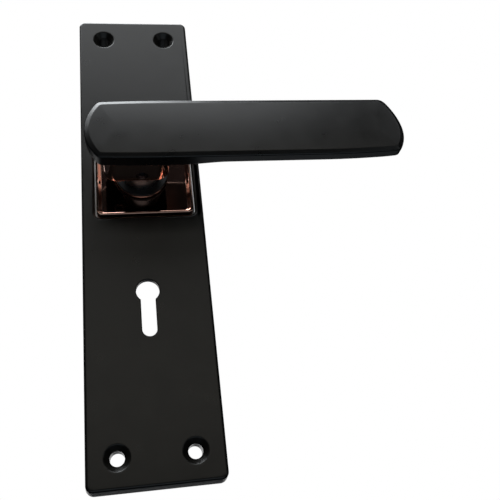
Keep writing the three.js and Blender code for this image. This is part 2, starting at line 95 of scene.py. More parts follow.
GRIP_HUB_RADIUS, GRIP_TIP_RADIUS = 16.0, 18.5
GRIP_BEVEL_WIDTH, GRIP_BEVEL_DEPTH, GRIP_BACK_EDGE = 1.6, 0.95, 0.6
HUB_SLIM, HUB_SLIM_START, TIP_SLIM, TIP_SLIM_START = 0.06, 8.0, 0.12, 60.0
TIP_LEAN, TIP_LEAN_START, TIP_LEAN_REACH = 0.16, 66.0, 0.2
GRIP_CROWN, GRIP_STATIONS = 0.3, 90
TIP_TOP_EASE, TIP_BOTTOM_EASE, HUB_EASE = 3.6, 1.6, 2.2
GRIP_SCREW_HEAD, GRIP_SCREW_SINK, GRIP_SCREW_WAY = 2.1, 2.4, 1.35
SPINDLE_ACROSS, SPINDLE_CHAMFER = 8, 0.55
GRUB_Y, GRUB_RADIUS, GRUB_LOW, GRUB_HIGH, GRUB_KEY = -21.4, 2.0, 4.15, 9.2, 1.15
CAM_FRONT, CAM_BACK, CAM_DISC = -2.1, -1.1, 8.6
CAM_ARM, CAM_ARM_END, CAM_LOBE, CAM_LOBE_END = 2.3, 13.0, 2.0, 13.2
SPRING_WIRE, SPRING_Y, SPRING_LOOP, SPRING_LEG, SPRING_LEG_END = 0.55, -2.72, 9.3, 1.6, 16.6
SIDES = 96


# ---- Outlines of x and z points, anticlockwise seen from the front ----
def arc(x, z, radius, start, end, steps):
    angles = [start + (end - start) * k / steps for k in range(steps + 1)]
    return [(x + radius * math.cos(a), z + radius * math.sin(a)) for a in angles]


def rounded(points, closed=False, steps=6):
    """Corners given as (a, b) stay sharp, and those given as (a, b, radius) become arcs."""
    result = []
    for i, (a, b, *radius) in enumerate(points):
        if not radius:
            result.append((a, b))
            continue
        corner = Vector((a, b))
        before = Vector(points[i - 1][:2]) - corner
        after = Vector(points[(i + 1) % len(points)][:2]) - corner
        half = before.angle(after) / 2
        reach = min(radius[0] / math.tan(half), 0.5 * before.length, 0.5 * after.length)
        inward = (before.normalized() + after.normalized()).normalized()
        centre = corner + inward * (reach / math.cos(half))
        start = corner + before.normalized() * reach - centre
        end = corner + after.normalized() * reach - centre
        first = math.atan2(start.y, start.x)
        sweep = (math.atan2(end.y, end.x) - first + math.pi) % (2 * math.pi) - math.pi
        result += arc(centre.x, centre.y, start.length, first, first + sweep, steps)
    return result


def circles(x=0.0, z=0.0, sides=SIDES):
    """Rings about a line along Y, by radius."""
    return lambda radius: arc(x, z, radius, 0, 2 * math.pi, sides)[:-1]


def rectangles(width, height, corner, x=0.0, z=0.0, steps=12, shrink=True):
    """Round-cornered rectangles, by how much they stand out all round."""

    def outline(growth):
        half_width, half_height = width / 2 + growth, height / 2 + growth
        radius = max(corner + growth, 0.3) if shrink else corner
        right, top = half_width - radius, half_height - radius
        corners = [(right, top), (-right, top), (-right, -top), (right, -top)]
        return [
            point
            for i, (cx, cz) in enumerate(corners)
            for point in arc(x + cx, z + cz, radius, i * QUARTER, (i + 1) * QUARTER, steps)
        ]

    return outline


def grown(outline):
    """Copies of an outline, by how far they stand out of it."""
    count = len(outline)

    def result(growth):
        moved = []
        for i, (x, z) in enumerate(outline):
            here = Vector((x, z))
            into = (here - Vector(outline[i - 1])).normalized()
            out = (Vector(outline[(i + 1) % count]) - here).normalized()
            normal = Vector((into.y + out.y, -into.x - out.x)).normalized()
            spread = max(normal.dot(Vector((into.y, -into.x))), 0.5)
            moved.append(tuple(here + normal * (growth / spread)))
        return moved

    return result


# ---- Closed skins ----
class Skin:
    """Rings of points round an outline, joined by strips and closed by flat faces."""

    def __init__(self):
        self.mesh = bmesh.new()

    def ring(self, outline, y):
        return [
            self.mesh.verts.new((x * MM, (y(x) if callable(y) else y) * MM, z * MM)) for x, z in outline
        ]

    def strip(self, rings, closed=False):
        pairs = list(zip(rings, rings[1:]))
        if closed:
            pairs.append((rings[-1], rings[0]))
        for a, b in pairs:
            for i in range(len(a)):
                j = (i + 1) % len(a)
                self.mesh.faces.new((a[i], a[j], b[j], b[i]))

    def wrap(self, outline, path, steps=6, closed=False):
        """Follows a path of (growth, y, radius) corners round an outline, and returns its end rings."""
        rings = [self.ring(outline(growth), y) for growth, y in rounded(path, closed, steps)]
        self.strip(rings, closed)
        return rings[0], rings[-1]

    def flat(self, *rings):
        edges = [
            self.mesh.edges.get((ring[i - 1], ring[i])) for ring in rings for i in range(len(ring))
        ]
        bmesh.ops.triangle_fill(self.mesh, use_beauty=True, edges=edges)

    def across(self, ring):
        """Closes a ring that starts at its right end with strips between its upper and lower points."""
        count = len(ring)
        for i in range(count // 2):
            corners = [ring[i], ring[i + 1], ring[(count - i - 1) % count], ring[(count - i) % count]]
            self.mesh.faces.new(list(dict.fromkeys(corners)))

    def make(self, name):
        loose = [edge for edge in self.mesh.edges if not edge.is_manifold]
        if loose:
            raise RuntimeError(f"{name} has {len(loose)} open edges")
        bmesh.ops.recalc_face_normals(self.mesh, faces=self.mesh.faces)
        data = bpy.data.meshes.new(name)
        self.mesh.to_mesh(data)
        self.mesh.free()
        made = bpy.data.objects.new(name, data)
        bpy.context.scene.collection.objects.link(made)
        return made


def turned(name, path, x=0.0, z=0.0, sides=SIDES, closed=False, steps=5):
    """A body turned about a line along Y, from a path of (radius, y) corners."""
    skin = Skin()
    ends = skin.wrap(circles(x, z, sides), path, steps, closed)
    if not closed:
        for ring in ends:
            skin.flat(ring)
    return skin.make(name)


def prism(name, outline, path, steps=4):
    """A body along Y with flat ends, from an outline and a path of (growth, y) corners."""
    skin = Skin()
    for ring in skin.wrap(outline, path, steps):
        skin.flat(ring)
    return skin.make(name)


def block(name, low, high, edge=0.0):
    """A rectangular body between two corners."""
    width, height = high[0] - low[0], high[2] - low[2]
    outline = rectangles(width, height, max(edge, 0.02), (low[0] + high[0]) / 2, (low[2] + high[2]) / 2, 4)
    reach = edge * 1.5
    path = [(-reach, low[1]), (0, low[1], edge), (0, high[1], edge), (-reach, high[1])]
    return prism(name, outline, path if edge else [(0, low[1]), (0, high[1])])


def carved(target, cutters, operation="DIFFERENCE"):
    """Cuts other bodies from a body, or joins them to it, and removes them."""
    for cutter in cutters:
        carve = target.modifiers.new("carve", "BOOLEAN")
        carve.operation = operation
        carve.solver = "EXACT"
        carve.object = cutter
    bpy.context.view_layer.update()
    evaluated = target.evaluated_get(bpy.context.evaluated_depsgraph_get())
    data = bpy.data.meshes.new_from_object(evaluated)
    target.modifiers.clear()
    target.data = data
    for cutter in cutters:
        bpy.data.objects.remove(cutter)
    return target


def turn_upright(thing, y):
    """Turns a body that was made along Y to stand along Z, at a level of y."""
    thing.data.transform(Matrix.Translation((0, y * MM, 0)) @ Matrix.Rotation(QUARTER, 4, "X"))
    return thing


def install(made, node, body, material, sharp=32.0):
    """Gives a finished piece its shading and material, and lets it stand for a CAD node."""
    made.name = f"{node}_visual"
    made.data.materials.clear()
    made.data.materials.append(material)
    for face in made.data.polygons:
        face.use_smooth = True
    made.data.set_sharp_from_angle(angle=math.radians(sharp))
    weighted = made.modifiers.new("weighted normals", "WEIGHTED_NORMAL")
    weighted.keep_sharp = True
    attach(made, body)
    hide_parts(node)


# ---- Materials ----
NOISE_LOW, NOISE_HIGH = 0.3, 0.7
# Painted shade: a dark tone for the neck's back, where it faces the cup.
NECK_BACK_SHADE = (0.006, 0.0055, 0.005)


class Surface:
    """A Principled material whose detail comes from noise in the object's own space."""

    def __init__(self, name, color, metallic, roughness):
        self.material = bpy.data.materials.new(name)
        self.material.use_nodes = True
        self.nodes = self.material.node_tree.nodes
        self.links = self.material.node_tree.links
        self.shader = self.nodes["Principled BSDF"]
        self.shader.inputs["Base Color"].default_value = (*color, 1)
        self.shader.inputs["Metallic"].default_value = metallic
        self.shader.inputs["Roughness"].default_value = roughness
        self.height = None

    def noise(self, size_mm, detail, stretch=(1, 1, 1)):
        """Noise with features of a size, drawn out along the axes with a stretch above one."""
        place = self.nodes.new("ShaderNodeTexCoord")
        scale = self.nodes.new("ShaderNodeMapping")
        scale.inputs["Scale"].default_value = [1 / (size_mm * MM * s) for s in stretch]
        texture = self.nodes.new("ShaderNodeTexNoise")
        texture.inputs["Scale"].default_value = 1
        texture.inputs["Detail"].default_value = detail
        self.links.new(place.outputs["Object"], scale.inputs["Vector"])
        self.links.new(scale.outputs["Vector"], texture.inputs["Vector"])
        return texture.outputs["Fac"]

    def spread(self, value, low, high):
        """Stretches the middle of a noise's range over a range of its own."""
        ramp = self.nodes.new("ShaderNodeMapRange")
        self.links.new(value, ramp.inputs["Value"])
        limits = {"From Min": NOISE_LOW, "From Max": NOISE_HIGH, "To Min": low, "To Max": high}
        for name, number in limits.items():
            ramp.inputs[name].default_value = number
        return ramp.outputs["Result"]

    def vary_roughness(self, value, low, high):
        self.links.new(self.spread(value, low, high), self.shader.inputs["Roughness"])

    def vary_color(self, value, first, second):
        mix = self.nodes.new("ShaderNodeMix")
        mix.data_type = "RGBA"
        self.links.new(self.spread(value, 0, 1), mix.inputs["Factor"])
        mix.inputs["A"].default_value = (*first, 1)
        mix.inputs["B"].default_value = (*second, 1)
        self.links.new(mix.outputs["Result"], self.shader.inputs["Base Color"])

    def paint_shade_between(self, start, end, tone):
        """Paints shade: turns the surface to a dark tone where its y lies between two levels."""
        place = self.nodes.new("ShaderNodeTexCoord")
        parts = self.nodes.new("ShaderNodeSeparateXYZ")
        self.links.new(place.outputs["Object"], parts.inputs["Vector"])
        middle, half = (start + end) / 2 * MM, (end - start) / 2 * MM
        inside = self.nodes.new("ShaderNodeMath")
        inside.operation = "COMPARE"
        inside.inputs[1].default_value = middle
        inside.inputs[2].default_value = half
        self.links.new(parts.outputs["Y"], inside.inputs[0])
        color = self.nodes.new("ShaderNodeMix")
        color.data_type = "RGBA"
        color.inputs["B"].default_value = (*tone, 1)
        before = self.shader.inputs["Base Color"].links[0].from_socket
        self.links.new(inside.outputs["Value"], color.inputs["Factor"])
        self.links.new(before, color.inputs["A"])
        self.links.new(color.outputs["Result"], self.shader.inputs["Base Color"])

    def bump(self, value, depth_mm):
        """Adds relief of a depth, on top of any relief before it."""
        bump = self.nodes.new("ShaderNodeBump")
        bump.inputs["Distance"].default_value = depth_mm * MM
        self.links.new(value, bump.inputs["Height"])
        if self.height:
            self.links.new(self.height, bump.inputs["Normal"])
        self.height = bump.outputs["Normal"]
        self.links.new(self.height, self.shader.inputs["Normal"])


def black_lacquer(name, tone, shine):
    """Satin lacquer: even, with a faint orange peel and a fine dusting of rougher spots."""
    surface = Surface(name, tone, 0.0, 0.3)
    surface.shader.inputs["Specular IOR Level"].default_value = shine
    surface.vary_roughness(surface.noise(7, 4), 0.27, 0.34)
    surface.vary_color(surface.noise(12, 3), tone, [part * 1.2 for part in tone])
    surface.bump(surface.noise(0.9, 2), 0.004)
    surface.bump(surface.noise(0.12, 2), 0.0006)
    return surface.material


def rose_gold_plate():
    """Polished plating: almost a mirror, with faint buffing marks and a slow drift of tint. The neck's
    back has painted shade: a dark tone where it faces the cup."""
    surface = Surface("rose_gold_plate", (0.78, 0.48, 0.385), 1.0, 0.1)
    surface.vary_roughness(surface.noise(2.5, 5, (1, 1, 4)), 0.04, 0.07)
    surface.vary_color(surface.noise(9, 2), (0.78, 0.48, 0.385), (0.75, 0.445, 0.35))
    surface.bump(surface.noise(5, 2), 0.006)
    surface.bump(surface.noise(0.25, 2, (8, 1, 1)), 0.0004)
    # Painted shade on the neck's back, so that its reflection in the cup stays dark.
    surface.paint_shade_between(NECK_HIGH.y - 0.3, NECK_HIGH.y + 1, NECK_BACK_SHADE)
    return surface.material


def turned_steel():
    """Machined steel: fine rings left by the tool, across the axis of turning."""
    surface = Surface("turned_steel", (0.58, 0.57, 0.56), 1.0, 0.3)
    surface.vary_roughness(surface.noise(3, 4), 0.24, 0.38)
    surface.bump(surface.noise(0.18, 2, (40, 1, 40)), 0.002)
    return surface.material


def zinc_plate():
    """Bright zinc plating: cloudy, with a trace of blue and a few duller patches."""
    surface = Surface("zinc_plate", (0.56, 0.57, 0.59), 1.0, 0.35)
    surface.vary_roughness(surface.noise(3.5, 5), 0.28, 0.46)
    surface.vary_color(surface.noise(6, 4), (0.52, 0.54, 0.57), (0.62, 0.61, 0.58))
    surface.bump(surface.noise(0.35, 3), 0.003)
    return surface.material


def blackened_steel():
    """Screw steel with a black oxide skin, worn a little paler in patches."""
    surface = Surface("blackened_steel", (0.02, 0.02, 0.022), 1.0, 0.4)
    surface.vary_roughness(surface.noise(1.2, 4), 0.32, 0.5)
    surface.vary_color(surface.noise(2, 3), (0.016, 0.016, 0.018), (0.035, 0.034, 0.034))
    surface.bump(surface.noise(0.3, 2), 0.002)
    return surface.material


def spring_wire():
    """Oil-tempered wire: dark, with drawn lines along it and a blue-brown drift."""
    surface = Surface("spring_wire", (0.13, 0.13, 0.14), 1.0, 0.32)
    surface.vary_roughness(surface.noise(1.2, 4), 0.25, 0.42)
    surface.vary_color(surface.noise(4, 3), (0.11, 0.12, 0.15), (0.17, 0.145, 0.12))
    surface.bump(surface.noise(0.15, 2), 0.0015)
    return surface.material


def black_nylon():
    """Moulded nylon: matt, with a fine sparkle-free grain."""
    surface = Surface("black_nylon", (0.007, 0.007, 0.0075), 0.0, 0.4)
    surface.vary_roughness(surface.noise(1.5, 3), 0.34, 0.46)
    surface.bump(surface.noise(0.2, 3), 0.004)
    return surface.material


LACQUER = black_lacquer("black_lacquer", (0.0075, 0.007, 0.0058), 0.5)
GRIP_LACQUER = black_lacquer("grip_lacquer", (0.006, 0.0063, 0.0066), 0.7)
ROSE_GOLD = rose_gold_plate()
TURNED = turned_steel()
ZINC = zinc_plate()
BLACKENED = blackened_steel()
WIRE = spring_wire()
NYLON = black_nylon()


# ---- Fixed pieces ----
def keyhole_outline():
    spread = math.asin(KEYHOLE_SLOT / KEYHOLE_RADIUS)
    bow = arc(0, KEYHOLE_Z, KEYHOLE_RADIUS, spread - QUARTER, 3 * QUARTER - spread, 48)
    foot = arc(0, KEYHOLE_BOTTOM + KEYHOLE_SLOT, KEYHOLE_SLOT, math.pi, 2 * math.pi, 24)
    return bow + foot


def backplate():
    front, inside, rim = PLATE_LOW.y, PLATE_LOW.y + PLATE_WALL, 0.0
    middle = (PLATE_LOW.z + PLATE_HIGH.z) / 2
    skin = Skin()
    outer = rectangles(
        PLATE_HIGH.x - PLATE_LOW.x, PLATE_HIGH.z - PLATE_LOW.z, PLATE_CORNER, 0, middle, 14
    )
    wall_path = [
        (-PLATE_WALL - 0.5, inside),
        (-PLATE_WALL, inside, 0.4),
        (-PLATE_WALL, rim, 0.25),
        (0, rim, 0.25),
        (-PLATE_DRAFT, front, PLATE_EDGE),
        (-PLATE_DRAFT - PLATE_EDGE - 0.4, front),
    ]
    inner_ring, front_ring = skin.wrap(outer, wall_path, 10)
    fronts, insides = [front_ring], [inner_ring]
    opening = rectangles(OPENING_SIZE, OPENING_SIZE, OPENING_CORNER, CUP_X, 0, 12)
    opening_path = [
        (OPENING_ROLL + 0.3, front),
        (0, front, OPENING_ROLL),
        (0, inside, 0.2),
        (0.4, inside),
    ]
    keyhole_path = [(0.7, front), (0, front, 0.4), (0, inside, 0.2), (0.4, inside)]
    ways = [(opening, opening_path), (grown(keyhole_outline()), keyhole_path)]
    screw_path = [
        (SINK_RADIUS + 0.7, front),
        (SINK_RADIUS, front, 0.7),
        (HOLE_RADIUS, front + SINK_DEPTH, 0.15),
        (HOLE_RADIUS, rim, 0.2),
        (PILLAR, rim, 0.25),
        (PILLAR, inside, 0.4),
        (PILLAR + 0.5, inside),
    ]
    for z in (PLATE_HIGH.z - HOLE_INSET, PLATE_LOW.z + HOLE_INSET):
        ways += [(circles(side * HOLE_X, z, 64), screw_path) for side in (-1, 1)]
    for outline, path in ways:
        first, last = skin.wrap(outline, path, 8)
        fronts.append(first)
        insides.append(last)
    pad_path = [
        (PAD_HOLE, PAD_FRONT - 1.45),
        (PAD_HOLE, PAD_FRONT, 0.1),
        (PAD_RADIUS, PAD_FRONT, 0.1),
        (PAD_RADIUS, inside, 0.1),
        (PAD_RADIUS + 0.1, inside),
    ]
    for side in (-1, 1):
        for end in (-1, 1):
            bottom, foot = skin.wrap(circles(side * PAD_X, end * PAD_Z, 48), pad_path, 4)
            skin.flat(bottom)
            insides.append(foot)
    skin.flat(*fronts)
    skin.flat(*insides)
    install(skin.make("backplate"), "backplate", "plate", LACQUER)


def rose_cup():
    skin = Skin()
    size = CUP_HIGH.x - CUP_LOW.x
    dish = rectangles(size, size, CUP_CORNER, CUP_X, 0, 12, shrink=False)
    dish_path = [
        (-0.8, CUP_BACK),
        (0, CUP_BACK, 0.3),
        (0, CUP_FRONT, 0.38),
        (-CUP_RIM, CUP_FRONT, 0.38),
        (-CUP_RIM - CUP_SLOPE, CUP_FLOOR, 0.3),
        (-CUP_RIM - CUP_SLOPE - 0.6, CUP_FLOOR),
    ]
    collar_path = [
        (COLLAR_RADIUS + 0.12, CUP_FLOOR),
        (COLLAR_RADIUS, CUP_FLOOR, 0.12),
        (COLLAR_RADIUS, COLLAR_FRONT, 0.45),
        (COLLAR_BORE, COLLAR_FRONT, 0.2),
        (COLLAR_BORE, COLLAR_BACK, 0.15),
        (COLLAR_RADIUS, COLLAR_BACK, 0.3),
        (COLLAR_RADIUS, CUP_BACK, 0.1),
        (COLLAR_RADIUS + 0.3, CUP_BACK),
    ]
    dish_back, dish_floor = skin.wrap(dish, dish_path, 8)
    collar_floor, collar_back = skin.wrap(circles(), collar_path, 6)
    skin.flat(dish_floor, collar_floor)
    skin.flat(dish_back, collar_back)
    install(skin.make("rose_cup"), "rose_cup", "plate", ROSE_GOLD)


def neck_bush():
    low, high = box_mm("neck_bush")
    flange, outer, inner, sleeve = high.x, COLLAR_BORE - 0.05, SPIGOT_RADIUS + 0.05, SPIGOT_REAR + 0.05
    path = [
        (inner, low.y, 0.12),
        (flange, low.y, 0.3),
        (flange, COLLAR_FRONT - 0.05, 0.1),
        (outer, COLLAR_FRONT - 0.05, 0.05),
        (outer, high.y, 0.2),
        (sleeve, high.y, 0.1),
        (sleeve, SPIGOT_SHOULDER + 0.05, 0.05),
        (inner, SPIGOT_SHOULDER + 0.05, 0.05),
    ]
    made = turned("neck_bush", path, closed=True)
    install(made, "neck_bush", "plate", NYLON)


CARRIER_PINS = ("spring_anchor_pin", "rest_stop_pin", "travel_stop_pin")


def carrier_plate():
    width, height = CARRIER_HIGH.x - CARRIER_LOW.x, CARRIER_HIGH.z - CARRIER_LOW.z
    front, back = CARRIER_LOW.y, CARRIER_HIGH.y
    skin = Skin()
    plate_path = [(-0.5, front), (0, front, CARRIER_EDGE), (0, back, CARRIER_EDGE), (-0.5, back)]
    loops = [skin.wrap(rectangles(width, height, CARRIER_CORNER), plate_path)]
    pins = [box_mm(node) for node in CARRIER_PINS]
    holes = [(0, 0, CARRIER_BORE, SIDES)]
    holes += [(side * PAD_X, end * PAD_Z, CARRIER_SCREW_HOLE, 32) for side in (-1, 1) for end in (-1, 1)]
    holes += [((low.x + high.x) / 2, (low.z + high.z) / 2, PIN_HOLE, 24) for low, high in pins]
    for x, z, radius, sides in holes:
        path = [(radius + 0.12, front), (radius, front, 0.08), (radius, back, 0.08), (radius + 0.12, back)]
        loops.append(skin.wrap(circles(x, z, sides), path, 2))
    skin.flat(*[first for first, _ in loops])
    skin.flat(*[last for _, last in loops])
    install(skin.make("carrier_plate"), "carrier_plate", "plate", ZINC)


def carrier_pins():
    for node in CARRIER_PINS:
        low, high = box_mm(node)
        radius = (high.x - low.x) / 2
        foot = radius * 0.8
        path = [
            (foot, CARRIER_LOW.y),
            (foot, CARRIER_HIGH.y + 0.02),
            (radius, CARRIER_HIGH.y + 0.02, 0.05),
            (radius, high.y, 0.25),
            (radius * 0.4, high.y),
        ]
        made = turned(node, path, (low.x + high.x) / 2, (low.z + high.z) / 2, 40)
        install(made, node, "plate", TURNED)


def carrier_screws():
    for vertical, end in (("upper", 1), ("lower", -1)):
        for horizontal, side in (("left", -1), ("right", 1)):
            node = f"carrier_screw_{vertical}_{horizontal}"
            low, high = box_mm(node)
            x, z = side * PAD_X, end * PAD_Z
            seat = CARRIER_HIGH.y + 0.03
            head = (high.x - low.x) / 2
            path = [
                (0.5, low.y),
                (1.25, low.y, 0.3),
                (1.25, seat, 0.05),
                (head, seat, 0.1),
                (head, high.y - 0.35, 0.3),
                (head * 0.62, high.y, 1.2),
                (0.3, high.y),
            ]
            made = turned(node, path, x, z, 56)
            halves = (SLOT_HALF_WIDTH, SLOT_HALF_LENGTH)
            slots = [
                block("slot", (x - a, high.y - SLOT_DEPTH, z - b), (x + a, high.y + 0.3, z + b))
                for a, b in (halves, halves[::-1])
            ]
            install(carved(made, slots), node, "plate", ZINC)


def return_spring():
    """One round of wire with two legs, built in its rest shape: its right leg isn't made to follow the cam
    as the lever turns.
    """
    bend = 1.6
    opening = math.asin((SPRING_LEG + bend) / (SPRING_LOOP + bend))
    centre_z = (SPRING_LOOP + bend) * math.cos(opening)
    top = QUARTER - opening
    right = arc(SPRING_LEG + bend, centre_z, bend, math.pi, math.pi + top, 10)
    loop = arc(0, 0, SPRING_LOOP, top, top - 2 * (math.pi - opening), 120)
    left = arc(-SPRING_LEG - bend, centre_z, bend, -top, 0, 10)
    line = [(SPRING_LEG, SPRING_LEG_END), *right, *loop[1:-1], *left, (-SPRING_LEG, SPRING_LEG_END)]
    skin = Skin()
    rings = []
    for i, (x, z) in enumerate(line):
        here = Vector((x, SPRING_Y, z))
        before, after = line[max(i - 1, 0)], line[min(i + 1, len(line) - 1)]
        along = Vector((after[0] - before[0], 0, after[1] - before[1])).normalized()
        across = along.cross(Vector((0, 1, 0)))
        tip = i in (0, len(line) - 1)
        ring = []
        for k in range(20):
            angle = 2 * math.pi * k / 20
            radius = SPRING_WIRE * (0.8 if tip else 1.0)
            point = here + (across * math.cos(angle) + Vector((0, 1, 0)) * math.sin(angle)) * radius
            ring.append(skin.mesh.verts.new(point * MM))
        rings.append(ring)
    skin.strip(rings)
    skin.flat(rings[0])
    skin.flat(rings[-1])
    made = skin.make("return_spring")
    made.name = "return_spring_visual"
    made.data.materials.append(WIRE)
    for face in made.data.polygons:
        face.use_smooth = True
    made.data.set_sharp_from_angle(angle=math.radians(50))
    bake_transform(made)
    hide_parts("return_spring")


# ---- Turning pieces ----
def grip_outline(growth):
    """A bar with an arc at each end that meets its long sides at an eased corner. It slims a little
    towards its short end, its lower side rises towards the tip, and the tip leans out at the bottom."""
    left, right = GRIP_LOW.x, GRIP_HIGH.x - TIP_LEAN_REACH

    def corner(side, half, full_ease):
        radius = (GRIP_TIP_RADIUS if side > 0 else GRIP_HUB_RADIUS) + growth
        ease = max(full_ease + growth * 0.5, 0.4)
        centre = (right + growth if side > 0 else left - growth) - side * radius
        z = half - ease
        reach = math.sqrt((radius - ease) ** 2 - z**2)
        return radius, ease, centre, centre + side * reach, z, math.atan2(z, reach)

    def towards(x, start, end):
        return min(max((x - start) / (end - start), 0), 1) ** 2

    def long_side(half, tip_ease, tip_slim):
        radius, ease, centre, x, z, turn = corner(1, half, tip_ease)
        hub_radius, hub_ease, hub_centre, hub_x, hub_z, hub_turn = corner(-1, half, HUB_EASE)
        points = [
            *arc(centre, 0, radius, 0, turn, 20),
            *arc(x, z, ease, turn, QUARTER, 8)[1:],
            *[(x + (hub_x - x) * i / GRIP_STATIONS, half) for i in range(1, GRIP_STATIONS)],
            *arc(hub_x, hub_z, hub_ease, QUARTER, math.pi - hub_turn, 8),
            *arc(hub_centre, 0, hub_radius, math.pi - hub_turn, math.pi, 20)[1:],
        ]
        return [
            (
                x,
                z
                * (1 - HUB_SLIM * towards(x, HUB_SLIM_START, left))
                * (1 - tip_slim * towards(x, TIP_SLIM_START, right)),
            )
            for x, z in points
        ]

    upper = long_side(GRIP_HIGH.z + growth, TIP_TOP_EASE, 0)
    lower = long_side(growth - GRIP_LOW.z, TIP_BOTTOM_EASE, TIP_SLIM)[1:-1]
    outline = upper + [(x, -z) for x, z in reversed(lower)]
    return [(x - TIP_LEAN * z * towards(x, TIP_LEAN_START, right), z) for x, z in outline]


def grip_thickness(x):
    share = min(max((x - GRIP_HUB_END) / (GRIP_WAIST_START - GRIP_HUB_END), 0), 1)
    waisting = share * share * (3 - 2 * share)
    body = GRIP_HUB + (GRIP_WAIST - GRIP_HUB) * waisting
    to_end = min(max(min(x - GRIP_LOW.x, GRIP_HIGH.x - x) / GRIP_TAPER, 0), 1)
    return GRIP_TIP + (body - GRIP_TIP) * math.sqrt(1 - (1 - to_end) ** 2)


def lever_grip():
    face = GRIP_LOW.y
    skin = Skin()
    edge = rounded([(-2.2, 0), (0, 0, GRIP_BACK_EDGE), (0, 2.0)], steps=6)
    rings = [
        skin.ring(grip_outline(growth), lambda x, drop=drop: face + grip_thickness(x) - drop)
        for growth, drop in edge[:-1]
    ]

    def crown(growth):
        return face + GRIP_CROWN * ((growth + GRIP_HIGH.z) / GRIP_HIGH.z) ** 2

    front = rounded(
        [
            (0, face + 2),
            (0, face + GRIP_BEVEL_DEPTH, 0.6),
            (-GRIP_BEVEL_WIDTH, crown(-GRIP_BEVEL_WIDTH), 0.9),
            (-GRIP_BEVEL_WIDTH - 0.8, crown(-GRIP_BEVEL_WIDTH - 0.8)),
        ],
        steps=10,
    )
    front += [(growth, crown(growth)) for growth in (-3.2, -4, -5, -6, -7, -8, -9, -10)]
    rings += [skin.ring(grip_outline(growth), y) for growth, y in front[1:]]
    skin.strip(rings)
    skin.across(rings[0])
    skin.across(rings[-1])
    install(skin.make("lever_grip"), "lever_grip", "lever", GRIP_LACQUER)


def grip_screw_spots():
    boxes = [(place, *box_mm(f"grip_screw_{place}")) for place in ("upper", "lower")]
    return [(place, (low.x + high.x) / 2, (low.z + high.z) / 2) for place, low, high in boxes]


def set_screw_bore():
    """What the set screw's hole takes out of the neck and the spigot."""
    radius = GRUB_RADIUS + 0.04
    return turn_upright(turned("bore", [(radius, -12), (radius, -0.5)], sides=48), GRUB_Y)


def lever_neck():
    rear, front = NECK_HIGH.y, NECK_LOW.y
    skin = Skin()
    block_outline = rectangles(
        NECK_HIGH.x - NECK_LOW.x, NECK_HIGH.z - NECK_LOW.z, NECK_CORNER, (NECK_LOW.x + NECK_HIGH.x) / 2
    )
    sides_path = [(-NECK_EDGE - 0.1, rear), (0, rear, NECK_EDGE), (0, front)]
    outer_rear, outer_front = skin.wrap(block_outline, sides_path, 10)
    socket_rear, socket_end = skin.wrap(
        circles(), [(SPIGOT_RADIUS + 0.02, rear), (SPIGOT_RADIUS + 0.02, NECK_SOCKET_END)]
    )
    skin.flat(socket_end)
    rears, fronts = [outer_rear, socket_rear], [outer_front]
    for _, x, z in grip_screw_spots():
        head = GRIP_SCREW_HEAD + 0.1
        way_path = [
            (head, rear),
            (head, rear - GRIP_SCREW_SINK),
            (GRIP_SCREW_WAY, rear - GRIP_SCREW_SINK),
            (GRIP_SCREW_WAY, front),
        ]
        first, last = skin.wrap(circles(x, z, 48), way_path)
        rears.append(first)
        fronts.append(last)
    skin.flat(*rears)
    skin.flat(*fronts)
    made = carved(skin.make("lever_neck"), [set_screw_bore()])
    install(made, "lever_neck", "lever", ROSE_GOLD)


def square_outlines(across, chamfer):
    """Chamfered squares, by how far they stand out of one of a size across its flats."""

    def outline(growth):
        half = across / 2 + growth
        near = half - chamfer
        corners = [(half, near, 0.12), (near, half, 0.12), (-near, half, 0.12), (-half, near, 0.12)]
        corners += [(-x, -z, r) for x, z, r in corners]
        return rounded(corners, closed=True, steps=3)

    return outline


def lever_spigot():
    low, high = box_mm("lever_spigot")
    path = [
        (SPIGOT_RADIUS - 1, low.y),
        (SPIGOT_RADIUS, low.y, 0.3),
        (SPIGOT_RADIUS, SPIGOT_SHOULDER, 0.1),
        (SPIGOT_REAR, SPIGOT_SHOULDER, 0.05),
        (SPIGOT_REAR, GROOVE_FRONT),
        (GROOVE_RADIUS, GROOVE_FRONT),
        (GROOVE_RADIUS, GROOVE_BACK),
        (SPIGOT_REAR, GROOVE_BACK),
        (SPIGOT_REAR, high.y, 0.1),
        (SPIGOT_REAR - 0.4, high.y),
    ]
    made = turned("lever_spigot", path)
    flat_front = CAM_FRONT - 0.05
    flats = [
        block("flat", (near, flat_front, -PAST_SPIGOT), (far, 1, PAST_SPIGOT))
        for near, far in ((-PAST_SPIGOT, -SPIGOT_FLAT), (SPIGOT_FLAT, PAST_SPIGOT))
    ]
    socket_path = [(0, 1), (0, SPINDLE_LOW.y - 0.2)]
    socket = prism("socket", square_outlines(SPINDLE_ACROSS + 0.1, SPINDLE_CHAMFER), socket_path)
    cutters = [*flats, socket, set_screw_bore()]
    install(carved(made, cutters), "lever_spigot", "lever", TURNED)


def spindle():
    low, high = SPINDLE_LOW.y, SPINDLE_HIGH.y
    path = [(-0.6, low), (0, low + 0.6), (0, high - 0.7, 0.1), (-0.7, high, 0.1), (-1.2, high)]
    made = prism("spindle", square_outlines(SPINDLE_ACROSS, SPINDLE_CHAMFER), path)
    install(made, "spindle", "lever", ZINC, sharp=24)


def spindle_set_screw():
    path = [
        (1.1, -GRUB_HIGH),
        (GRUB_RADIUS, -GRUB_HIGH, 0.3),
        (GRUB_RADIUS, -GRUB_LOW, 0.4),
        (0.8, -GRUB_LOW),
    ]
    made = turned("set_screw", path, sides=48)
    key = turned("key", [(GRUB_KEY, -GRUB_HIGH - 1), (GRUB_KEY, -GRUB_HIGH + 1)], sides=6)
    made = turn_upright(carved(made, [key]), GRUB_Y)
    install(made, "spindle_set_screw", "lever", WIRE)


